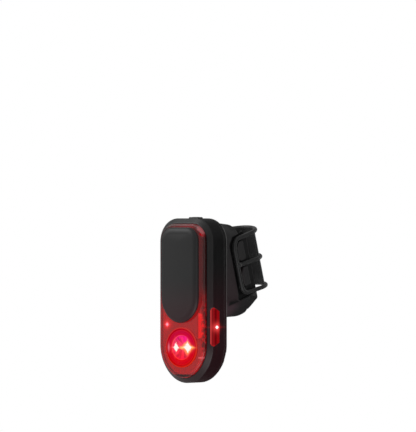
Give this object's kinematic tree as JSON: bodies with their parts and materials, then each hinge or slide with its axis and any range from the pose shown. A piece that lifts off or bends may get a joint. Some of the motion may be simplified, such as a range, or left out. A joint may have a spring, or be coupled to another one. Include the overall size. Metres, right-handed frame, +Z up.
{
  "type": "bike tail light",
  "caption": "Upright tail light with a flat radar cover, round main lamp and side windows, on a quarter-turn mount strapped to a leaning seat post.",
  "frame": {"origin": "on the seat post's axis, level with the middle rung of the strap behind the post", "axes": "+Z up with the light upright on a post that leans 17 degrees, -Y the way the light shines (rearwards), +X to the right as seen from behind the bicycle"},
  "size_m": [0.0444, 0.083, 0.1073],
  "materials": {
    "black_plastic": "satin",
    "black_cover": "matt",
    "red_lens": "clear",
    "red_optic": "clear",
    "white_plastic": "satin",
    "black_rubber": "matt",
    "circuit_board": "satin",
    "black_chip": "satin",
    "steel": "satin",
    "lamp": "gloss",
    "cable_orange": "satin",
    "battery_foil": "satin",
    "foam": "matt",
    "lead_red": "satin"
  },
  "bodies": {
    "mount": {"mount_body": "black_plastic", "post_pad": "black_rubber", "mounting_strap": "black_rubber", "twist_socket": "black_plastic", "socket_screws": "steel", "detent_springs": "steel"},
    "light": {"front_housing": "black_plastic", "front_lens": "red_lens", "radar_cover": "black_cover", "main_optic": "red_optic", "reflector_plate": "white_plastic", "side_window_right": "red_lens", "side_window_left": "red_lens", "inner_frame": "white_plastic", "radar_board": "circuit_board", "radar_chip": "black_chip", "radar_shield": "steel", "board_connector": "black_chip", "main_board": "circuit_board", "board_chips": "black_chip", "lamp_board": "circuit_board", "lamp_board_screws": "steel", "main_lamp": "lamp", "flat_cable": "cable_orange", "side_board_right": "circuit_board", "side_board_left": "circuit_board", "side_lamp_right": "lamp", "side_lamp_left": "lamp", "rear_cover": "black_plastic", "housing_seal": "black_rubber", "housing_screws": "steel", "battery_cell": "battery_foil", "battery_foam": "foam", "battery_leads": "lead_red", "battery_plug": "white_plastic", "switch_board": "circuit_board", "switch_body": "steel", "charging_socket": "steel", "twist_boss": "black_plastic", "twist_boss_screws": "steel"},
    "button": {"power_button": "black_rubber"},
    "plunger": {"switch_plunger": "black_chip"},
    "flap": {"port_cover": "black_rubber"}
  },
  "joints": [
    {"name": "light_twist", "type": "hinge", "parent": "mount", "child": "light", "pos_m": [0, -0.0367, -0.005], "axis": [0, 1, 0], "range_deg": [0, 90]},
    {"name": "power_button_press", "type": "slide", "parent": "light", "child": "button", "axis": [0, 0, -1], "range_m": [0, 0.0006], "stiffness_N_per_m": 2500, "springref_m": -0.0004},
    {"name": "switch_plunger_press", "type": "slide", "parent": "light", "child": "plunger", "axis": [0, 0, -1], "range_m": [0, 0.0006]},
    {"name": "port_cover_open", "type": "hinge", "parent": "light", "child": "flap", "pos_m": [-0.0085, -0.037, -0.061], "axis": [0, 0, 1], "range_deg": [0, 100]}
  ],
  "couplings": [
    {"joint": "switch_plunger_press", "follows": "power_button_press", "ratio": 1}
  ]
}
